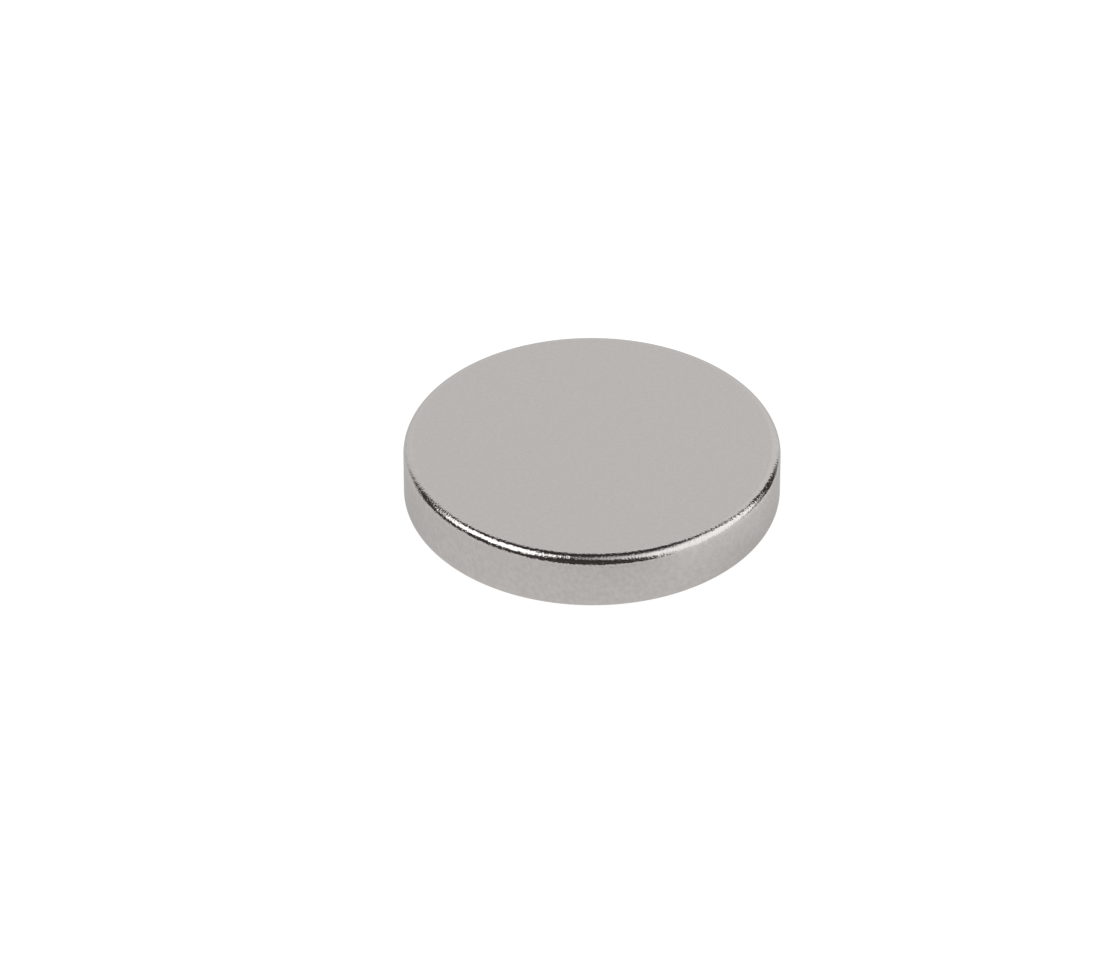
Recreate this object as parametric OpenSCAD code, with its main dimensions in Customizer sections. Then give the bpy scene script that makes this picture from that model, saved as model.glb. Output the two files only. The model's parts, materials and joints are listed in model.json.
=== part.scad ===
// Disc magnet: one solid of revolution with two flat faces, a straight rim
// and edges rounded by tumbling before the plating went on.
// It lies on its lower face. The origin is the centre of that face, and +Z is
// the disc's axis, which is also the way it is magnetised.

/* [Disc] */
// Diameter across the rim, in mm
disc_d = 18; // [10:0.5:40]
// Thickness between the two flat faces, in mm
disc_t = 3; // [2:0.1:10]

/* [Edges] */
// Radius of the rounding where each face meets the rim, in mm
edge_r = 0.45; // [0.1:0.05:0.9]

/* [Hidden] */
$fn = 180;

// Outside radius of the rim
rim_r = disc_d / 2;
// Radius of the flat part of each face, inside the rounding
face_r = rim_r - edge_r;
// Height of the straight part of the rim, between the two roundings
rim_h = disc_t - 2 * edge_r;
// Bright nickel over the sintered body
nickel = [0.72, 0.71, 0.70];

// Half of the disc's section, from the axis out to the rim: a slab between the
// faces, a wider slab for the rim, and a circle that rounds each corner.
module half_section() {
    square([face_r, disc_t]);
    translate([0, edge_r])
        square([rim_r, rim_h]);
    for (z = [edge_r, disc_t - edge_r])
        translate([face_r, z])
            circle(r = edge_r);
}

// The whole magnet, pressed, sintered and plated as one piece
module disc_magnet() {
    color(nickel)
        rotate_extrude()
            half_section();
}

disc_magnet();
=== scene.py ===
import json
import math

import bmesh
import bpy
from mathutils import Matrix, Quaternion, Vector


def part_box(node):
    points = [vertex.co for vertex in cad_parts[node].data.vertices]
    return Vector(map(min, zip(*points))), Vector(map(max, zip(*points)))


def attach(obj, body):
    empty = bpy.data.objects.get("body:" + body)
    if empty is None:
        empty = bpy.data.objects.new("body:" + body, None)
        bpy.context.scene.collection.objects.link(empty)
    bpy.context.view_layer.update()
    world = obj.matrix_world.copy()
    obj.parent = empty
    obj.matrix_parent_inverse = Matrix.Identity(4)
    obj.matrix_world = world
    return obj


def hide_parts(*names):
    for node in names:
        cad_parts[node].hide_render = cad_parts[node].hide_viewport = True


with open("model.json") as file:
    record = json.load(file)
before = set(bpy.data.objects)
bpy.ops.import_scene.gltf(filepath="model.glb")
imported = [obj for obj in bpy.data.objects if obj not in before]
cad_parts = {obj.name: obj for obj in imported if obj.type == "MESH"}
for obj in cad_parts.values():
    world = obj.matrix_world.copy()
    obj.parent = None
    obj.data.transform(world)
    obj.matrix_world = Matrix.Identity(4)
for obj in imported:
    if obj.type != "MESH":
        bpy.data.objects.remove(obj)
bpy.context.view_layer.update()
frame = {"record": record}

MM = 0.001

# The magnet's sizes, from the frame, in metres
MAGNET = "disc_magnet"
lowest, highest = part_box(MAGNET)
rim = next(mount["dims"] for mount in frame["record"]["mounts"] if mount["name"] == "rim")
RIM_RADIUS = rim["r_mm"] * MM
THICKNESS = highest.z - lowest.z
EDGE_RADIUS = (THICKNESS - rim["length_mm"] * MM) / 2
MIDDLE = Vector((0, 0, (lowest.z + highest.z) / 2))

# How finely the disc is turned, with a narrow ring beside each rounding, and what counts as one point
TURN_STEPS = 480
ROUNDING_STEPS = 20
FACE_RINGS = 24
RIM_RINGS = 12
SUPPORT = 0.04 * MM
MERGE = 0.001 * MM

# The plating: features per millimetre, depths in millimetres, turns in degrees
GRAIN_PER_MM = 11
GRAIN_DEPTH = 0.0048
GRAIN_DETAIL = 1
LINES_PER_MM = 14
LINES_LENGTHEN = 0.06
LINES_TURN = -65
LINES_DEPTH = 0.001
LINES_DETAIL = 1
STREAKS_PER_MM = 5
STREAKS_LENGTHEN = 0.8
STREAKS_LEAN_PER_MM = 0.025
STREAKS_DETAIL = 3
MIDDLE_TONE = 0.5
RIM_CONTRAST = 0.8
FACE_CONTRAST = 0.28
DULL_NICKEL = (0.59, 0.572, 0.56, 1)
BRIGHT_NICKEL = (0.66, 0.64, 0.626, 1)
GRAZING_TINT = (0.85, 0.85, 0.86, 1)
SATIN = 0.3
BURNISHED = 0.055

# How far the surface faces up or down, from the rim at 0 to the faces at 1: the limits between which it is
# burnished, and those between which the grinding lines come in
BURNISHED_FACING = 0.08, 0.99
GROUND_FACING = 0.6, 0.95

# The photograph's frame, and the magnet in it, in pixels
PHOTO_WIDTH, PHOTO_HEIGHT = 1108, 960
MAGNET_X, MAGNET_Y = 591.9, 469.2
RADIUS_PIXELS = 188.3

# The camera
CAMERA_ELEVATION = 36.56
CAMERA_DISTANCE = 360 * MM
CAMERA_CLIP = 10 * MM
SENSOR_WIDTH = 36

# The room, dark to the metal and white to the camera
DARK_GLOW = 0.054
DARK_TINT = (1, 0.85, 0.78, 1)
WHITE = (1, 1, 1, 1)

# Cards of light face the magnet from one distance, turned in degrees. Their sides are slopes off the way
# that they face, and they fade out over soft outer shares of their half width and half height
CARD_DISTANCE = 500 * MM
CARDS = {
    "back_card": {
        "light": {"radiance": 0.725, "soft": (0.03, 0.02), "tilt": 0.1},
        "azimuth": 165, "elevation": 0, "roll": -11.5, "across": (-2.76, 0.597), "rise": (-0.3, 1.82),
    },
    "left_card": {
        "light": {"radiance": 1.8, "soft": (0.17, 0.32), "tilt": -0.1},
        "azimuth": -50, "elevation": 36, "roll": 2.6, "across": (-0.305, 0.95), "rise": (-0.22, 0.66),
    },
    "right_card": {
        "light": {"radiance": 1.25, "soft": (0.19, 0.69), "tilt": -0.13},
        "azimuth": 68, "elevation": 25, "roll": -22, "across": (-0.8, 0.735), "rise": (-0.89, 0.85),
    },
    "low_card": {
        "light": {"radiance": 0.7, "soft": (0.3, 0.4)},
        "azimuth": 239.5, "elevation": 3.5, "roll": 0, "across": (-0.085, 0.085), "rise": (-0.12, 0.105),
    },
    "front_card": {
        "light": {"radiance": 0.65, "soft": (0.7,), "oval": True},
        "azimuth": 25, "elevation": 51.5, "roll": 0, "across": (-0.51, 0.51), "rise": (-0.505, 0.505),
    },
}

# Painted shade on the floor: black sheets that only the metal sees, in millimetres out from the magnet's
# axis and to the left, as seen from there
PAINTED_SHADE_LIFT = 0.02 * MM
PAINTED_SHADES = {
    "front_painted_shade": {
        "azimuth": 13.9, "near": 14.8, "near_sides": (-90, 5.8), "far": 400, "far_sides": (-860, 124),
    },
    "left_painted_shade": {
        "azimuth": -78, "near": 55, "near_sides": (-36, 36), "far": 400, "far_sides": (-260, 260),
    },
    "right_painted_shade": {
        "azimuth": 59.5, "near": 11.9, "near_sides": (8.7, 23.3), "far": 300, "far_sides": (200, 1350),
    },
}

# The floor's glow, as the metal sees it: a painted pool of light to one side, where the cards' light
# spills over it, and a painted shadow at the magnet's foot
FLOOR_GLOW, SPILL_GLOW = 0.735, 0.855
SPILL_START, SPILL_END = 9 * MM, 12.2 * MM
SPILL_AZIMUTH = 65
FOOT_SHADE = 0.125
FOOT_AZIMUTH = -12
FOOT_SIDES = 8 * MM, 11.5 * MM
FOOT_FRONT = 3 * MM, 7.5 * MM
FLOOR_TINT = (1, 0.975, 0.96, 1)

# The floor as the camera sees it: its own white, and the share of light that it sends back
WHITE_GLOW = 0.95
SENT_BACK = (0.15, 0.15, 0.15, 1)
FLOOR_HALF_WIDTH = 3000 * MM


def node(tree, kind, inputs=(), **settings):
    """Adds a shader node, with its settings, and its inputs filled with values or linked to sockets."""
    made = tree.nodes.new("ShaderNode" + kind)
    for name, value in settings.items():
        setattr(made, name, value)
    for socket, value in dict(inputs).items():
        if isinstance(value, bpy.types.NodeSocket):
            tree.links.new(value, made.inputs[socket])
        else:
            made.inputs[socket].default_value = value
    return made


def math_node(tree, operation, *values):
    """The result of a maths node."""
    return node(tree, "Math", enumerate(values), operation=operation).outputs["Value"]


def vector_node(tree, operation, *vectors):
    """The result of a vector maths node."""
    return node(tree, "VectorMath", enumerate(vectors), operation=operation).outputs["Vector"]


def soft_step(tree, value, between, before, after):
    """A value's smooth change from one level to another, as it passes between two limits."""
    start, end = between
    inputs = {"Value": value, "From Min": start, "From Max": end, "To Min": before, "To Max": after}
    return node(tree, "MapRange", inputs, interpolation_type="SMOOTHSTEP").outputs["Result"]


def turned_about_axis(tree, place, angle):
    """A place turned about the magnet's axis."""
    inputs = {"Vector": place, "Angle": angle}
    return node(tree, "VectorRotate", inputs, rotation_type="Z_AXIS").outputs["Vector"]


def noise(tree, place, per_mm, detail):
    """Signed noise over a place in millimetres."""
    inputs = {"Vector": place, "Scale": per_mm, "Detail": detail}
    return node(tree, "TexNoise", inputs, normalize=False).outputs["Fac"]


def by_viewer(tree, to_metal, to_camera):
    """One shader for what the metal sees, and another for what the camera does."""
    seen = node(tree, "LightPath").outputs["Is Camera Ray"]
    return node(tree, "MixShader", {"Fac": seen, 1: to_metal, 2: to_camera}).outputs["Shader"]


def empty_material(name):
    """A material whose node tree has nothing in it."""
    material = bpy.data.materials.new(name)
    material.use_nodes = True
    material.node_tree.nodes.clear()
    return material


def toward(azimuth, elevation):
    """The way out from the magnet, with azimuth from the camera's side round to +X, in degrees."""
    turn, rise = math.radians(azimuth), math.radians(elevation)
    return Vector((math.sin(turn) * math.cos(rise), -math.cos(turn) * math.cos(rise), math.sin(rise)))


def out_along(tree, place, azimuth):
    """How far a place on the floor lies out along an azimuth."""
    inputs = {0: place, 1: toward(azimuth, 0)}
    return node(tree, "VectorMath", inputs, operation="DOT_PRODUCT").outputs["Value"]


def add_object(name, bm, material):
    """Makes an object of a bmesh, in one material."""
    mesh = bpy.data.meshes.new(name)
    bm.to_mesh(mesh)
    bm.free()
    mesh.materials.append(material)
    made = bpy.data.objects.new(name, mesh)
    bpy.context.scene.collection.objects.link(made)
    return made


def half_section(bm):
    """Draws the disc's half section as a wire from axis to axis, with its two outer corners rounded."""
    inset = EDGE_RADIUS + SUPPORT
    way = [
        (0, lowest.z),
        (RIM_RADIUS - inset, lowest.z),
        (RIM_RADIUS, lowest.z),
        (RIM_RADIUS, lowest.z + inset),
        (RIM_RADIUS, highest.z - inset),
        (RIM_RADIUS, highest.z),
        (RIM_RADIUS - inset, highest.z),
        (0, highest.z),
    ]
    points = [bm.verts.new((across, 0, height)) for across, height in way]
    for pair in zip(points, points[1:]):
        bm.edges.new(pair)
    lower_corner, upper_corner = points[2], points[5]
    bmesh.ops.bevel(
        bm,
        geom=[lower_corner, upper_corner],
        offset=EDGE_RADIUS,
        offset_type="OFFSET",
        affect="VERTICES",
        segments=ROUNDING_STEPS,
        profile=0.5,
        material=-1,
    )
    long_edges = [edge for edge in bm.edges if edge.calc_length() > EDGE_RADIUS]
    straight_rim = [edge for edge in long_edges if all(v.co.x > RIM_RADIUS - MERGE for v in edge.verts)]
    flat_faces = [edge for edge in long_edges if edge not in straight_rim]
    bmesh.ops.subdivide_edges(bm, edges=flat_faces, cuts=FACE_RINGS)
    bmesh.ops.subdivide_edges(bm, edges=straight_rim, cuts=RIM_RINGS)


def turned_disc():
    """Turns the half section into the closed disc."""
    bm = bmesh.new()
    half_section(bm)
    bmesh.ops.spin(
        bm,
        geom=bm.verts[:] + bm.edges[:],
        cent=(0, 0, 0),
        axis=(0, 0, 1),
        angle=2 * math.pi,
        steps=TURN_STEPS,
        use_merge=True,
    )
    bmesh.ops.remove_doubles(bm, verts=bm.verts[:], dist=MERGE)
    bmesh.ops.recalc_face_normals(bm, faces=bm.faces[:])
    for face in bm.faces:
        face.smooth = True
    return bm


def bright_nickel():
    """Nickel on a ground and tumbled body: satin faces and rim, burnished edges and a fine grain."""
    material = bpy.data.materials.new("bright_nickel")
    material.use_nodes = True
    tree = material.node_tree
    shader = tree.nodes["Principled BSDF"]
    coords = node(tree, "TexCoord")
    in_mm = {"Vector": coords.outputs["Object"], "Scale": 1 / MM}
    place = node(tree, "VectorMath", in_mm, operation="SCALE").outputs["Vector"]
    height = node(tree, "SeparateXYZ", {"Vector": place}).outputs["Z"]
    facing = node(tree, "SeparateXYZ", {"Vector": coords.outputs["Normal"]}).outputs["Z"]
    facing = math_node(tree, "ABSOLUTE", facing)

    # A faint mottle, whose streaks lean on the rim because its points are turned by their height
    lean = math_node(tree, "MULTIPLY", height, STREAKS_LEAN_PER_MM)
    leaning = turned_about_axis(tree, place, lean)
    leaning = vector_node(tree, "MULTIPLY", leaning, (1, 1, STREAKS_LENGTHEN))
    streaks = noise(tree, leaning, STREAKS_PER_MM, STREAKS_DETAIL)
    contrast = node(tree, "MapRange", {"Value": facing, "To Min": RIM_CONTRAST, "To Max": FACE_CONTRAST})
    tone = math_node(tree, "MULTIPLY_ADD", streaks, contrast.outputs["Result"], MIDDLE_TONE)
    mottle = node(tree, "Mix", {"Factor": tone}, data_type="RGBA")
    mottle.inputs["A"].default_value = DULL_NICKEL
    mottle.inputs["B"].default_value = BRIGHT_NICKEL
    tree.links.new(mottle.outputs["Result"], shader.inputs["Base Color"])

    # Roughness by the way the surface faces
    sheen = node(tree, "ValToRGB", {"Fac": facing})
    ramp = sheen.color_ramp.elements
    ramp[0].color = ramp[1].color = (SATIN, SATIN, SATIN, 1)
    for edge in BURNISHED_FACING:
        ramp.new(edge).color = (BURNISHED, BURNISHED, BURNISHED, 1)
    tree.links.new(sheen.outputs["Color"], shader.inputs["Roughness"])

    # Tumbled grain, and the grinding lines that are left on the faces
    grain = noise(tree, place, GRAIN_PER_MM, GRAIN_DETAIL)
    along = turned_about_axis(tree, place, math.radians(LINES_TURN))
    along = vector_node(tree, "MULTIPLY", along, (LINES_LENGTHEN, 1, 1))
    lines = noise(tree, along, LINES_PER_MM, LINES_DETAIL)
    start, end = GROUND_FACING
    ground = {"Value": facing, "From Min": start, "From Max": end, "To Max": LINES_DEPTH}
    depth = node(tree, "MapRange", ground).outputs["Result"]
    cut = math_node(tree, "MULTIPLY", lines, depth)
    relief = math_node(tree, "MULTIPLY_ADD", grain, GRAIN_DEPTH, cut)
    bump = node(tree, "Bump", {"Height": relief, "Distance": MM})
    tree.links.new(bump.outputs["Normal"], shader.inputs["Normal"])
    shader.inputs["Metallic"].default_value = 1
    shader.inputs["Specular Tint"].default_value = GRAZING_TINT
    return material


def glowing(name, radiance, soft, oval=False, tilt=0):
    """A light box's cloth, brighter to one side by its tilt, that fades out over its soft shares."""
    material = empty_material(name)
    tree = material.node_tree
    place = node(tree, "TexCoord").outputs["Object"]
    split = node(tree, "SeparateXYZ", {"Vector": place})
    if oval:
        off_centre = [node(tree, "VectorMath", {"Vector": place}, operation="LENGTH").outputs["Value"]]
    else:
        off_centre = [math_node(tree, "ABSOLUTE", split.outputs[axis]) for axis in "XY"]
    strength = math_node(tree, "MULTIPLY_ADD", split.outputs["X"], radiance * tilt, radiance)
    for distance, share in zip(off_centre, soft):
        border = soft_step(tree, distance, (1 - share, 1), 1, 0)
        strength = math_node(tree, "MULTIPLY", border, strength)
    glow = node(tree, "Emission", {"Strength": strength})
    clear = node(tree, "BsdfTransparent")
    cloth = node(tree, "AddShader", {0: glow.outputs["Emission"], 1: clear.outputs["BSDF"]})
    node(tree, "OutputMaterial", {"Surface": cloth.outputs["Shader"]})
    return material


def add_card(name, light, azimuth, elevation, roll, across, rise):
    """Stands a card of light square to a direction, with its sides at the slopes given."""
    bm = bmesh.new()
    bmesh.ops.create_grid(bm, x_segments=1, y_segments=1, size=1)
    card = add_object(name, bm, glowing(name, **light))
    out = toward(azimuth, elevation)
    turn = (-out).to_track_quat("Z", "Y") @ Quaternion((0, 0, 1), math.radians(roll))
    left, right = across
    low, high = rise
    shift = turn @ Vector((left + right, low + high, 0)) / 2
    centre = MIDDLE + (out + shift) * CARD_DISTANCE
    half_width = (right - left) / 2 * CARD_DISTANCE
    half_height = (high - low) / 2 * CARD_DISTANCE
    card.matrix_world = Matrix.LocRotScale(centre, turn, Vector((half_width, half_height, 1)))
    card.visible_camera = False


def add_painted_shade(name, azimuth, near, near_sides, far, far_sides):
    """Lays a black sheet of painted shade on the floor, which only the metal sees."""
    material = empty_material(name)
    # Painted shade: a dim glow in the dark tint, seen only in the metal's reflection of the floor
    black = node(material.node_tree, "Emission", {"Color": DARK_TINT, "Strength": DARK_GLOW})
    node(material.node_tree, "OutputMaterial", {"Surface": black.outputs["Emission"]})
    bm = bmesh.new()
    bmesh.ops.create_grid(bm, x_segments=1, y_segments=1, size=1)
    for corner in bm.verts:
        distance, sides = (far, far_sides) if corner.co.y < 0 else (near, near_sides)
        corner.co = (sides[0] if corner.co.x < 0 else sides[1], -distance, 0)
    shade_sheet = add_object(name, bm, material)
    turn = Quaternion((0, 0, 1), math.radians(azimuth))
    lifted = Vector((0, 0, lowest.z + PAINTED_SHADE_LIFT))
    shade_sheet.matrix_world = Matrix.LocRotScale(lifted, turn, Vector((MM, MM, MM)))
    shade_sheet.visible_camera = shade_sheet.visible_shadow = shade_sheet.visible_diffuse = False


def pale_floor():
    """A pale sheet, white to the camera and greyer in the metal, whose glow there carries a painted pool
    of light and a painted shadow at the magnet's foot.
    """
    material = empty_material("pale_floor")
    tree = material.node_tree
    white = node(tree, "Emission", {"Strength": WHITE_GLOW})
    shaded = node(tree, "BsdfDiffuse", {"Color": SENT_BACK})
    paper = node(tree, "AddShader", {0: white.outputs["Emission"], 1: shaded.outputs["BSDF"]})
    place = node(tree, "TexCoord").outputs["Object"]
    # Painted pool of light: the glow the metal sees rises from FLOOR_GLOW to SPILL_GLOW out along
    # SPILL_AZIMUTH
    spilt = out_along(tree, place, SPILL_AZIMUTH)
    glow = soft_step(tree, spilt, (SPILL_START, SPILL_END), FLOOR_GLOW, SPILL_GLOW)
    # Painted shadow at the magnet's foot, on its sides and towards FOOT_AZIMUTH, dims that glow by up to
    # FOOT_SHADE
    behind = soft_step(tree, out_along(tree, place, FOOT_AZIMUTH), FOOT_FRONT, 1, 0)
    across = math_node(tree, "ABSOLUTE", node(tree, "SeparateXYZ", {"Vector": place}).outputs["X"])
    aside = soft_step(tree, across, FOOT_SIDES, 1, 0)
    painted_foot_shadow = math_node(tree, "MULTIPLY", aside, behind)
    after_painted_shadow = math_node(tree, "MULTIPLY_ADD", painted_foot_shadow, -FOOT_SHADE, 1)
    strength = math_node(tree, "MULTIPLY", glow, after_painted_shadow)
    grey = node(tree, "Emission", {"Color": FLOOR_TINT, "Strength": strength})
    sheet = by_viewer(tree, grey.outputs["Emission"], paper.outputs["Shader"])
    node(tree, "OutputMaterial", {"Surface": sheet})
    return material


def add_floor():
    """Lays the floor under the magnet."""
    bm = bmesh.new()
    bmesh.ops.create_grid(bm, x_segments=1, y_segments=1, size=FLOOR_HALF_WIDTH)
    bmesh.ops.translate(bm, verts=bm.verts[:], vec=(0, 0, lowest.z))
    add_object("floor", bm, pale_floor())


def add_world():
    """White to the camera, and a dark room to the metal."""
    world = bpy.data.worlds.new("studio")
    bpy.context.scene.world = world
    world.use_nodes = True
    tree = world.node_tree
    tree.nodes.clear()
    white = node(tree, "Background", {"Color": WHITE})
    dark = node(tree, "Background", {"Color": DARK_TINT, "Strength": DARK_GLOW})
    room = by_viewer(tree, dark.outputs["Background"], white.outputs["Background"])
    node(tree, "OutputWorld", {"Surface": room})


def add_camera():
    """Stands the camera where the photograph was taken, aimed so that the magnet falls in its place."""
    data = bpy.data.cameras.new("photo_camera")
    data.sensor_width = SENSOR_WIDTH
    pixel = RIM_RADIUS / RADIUS_PIXELS
    data.lens = SENSOR_WIDTH * CAMERA_DISTANCE / (PHOTO_WIDTH * pixel)
    data.clip_start = CAMERA_CLIP
    camera = bpy.data.objects.new("photo_camera", data)
    back = toward(0, CAMERA_ELEVATION)
    turn = (-back).to_track_quat("-Z", "Y")
    right, up = turn @ Vector((1, 0, 0)), turn @ Vector((0, 1, 0))
    off_right = (MAGNET_X - PHOTO_WIDTH / 2) * pixel
    off_down = (MAGNET_Y - PHOTO_HEIGHT / 2) * pixel
    aim = MIDDLE - right * off_right + up * off_down
    camera.location = MIDDLE + back * CAMERA_DISTANCE
    camera.rotation_mode = "QUATERNION"
    camera.rotation_quaternion = (aim - camera.location).to_track_quat("-Z", "Y")
    bpy.context.scene.collection.objects.link(camera)
    bpy.context.scene.camera = camera


disc = add_object("plated_disc", turned_disc(), bright_nickel())
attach(disc, "root")
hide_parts(MAGNET)

add_floor()
add_world()
for card_name, card in CARDS.items():
    add_card(card_name, **card)
for shade_name, shade_sheet in PAINTED_SHADES.items():
    add_painted_shade(shade_name, **shade_sheet)
add_camera()
bpy.context.scene.view_settings.view_transform = "Standard"
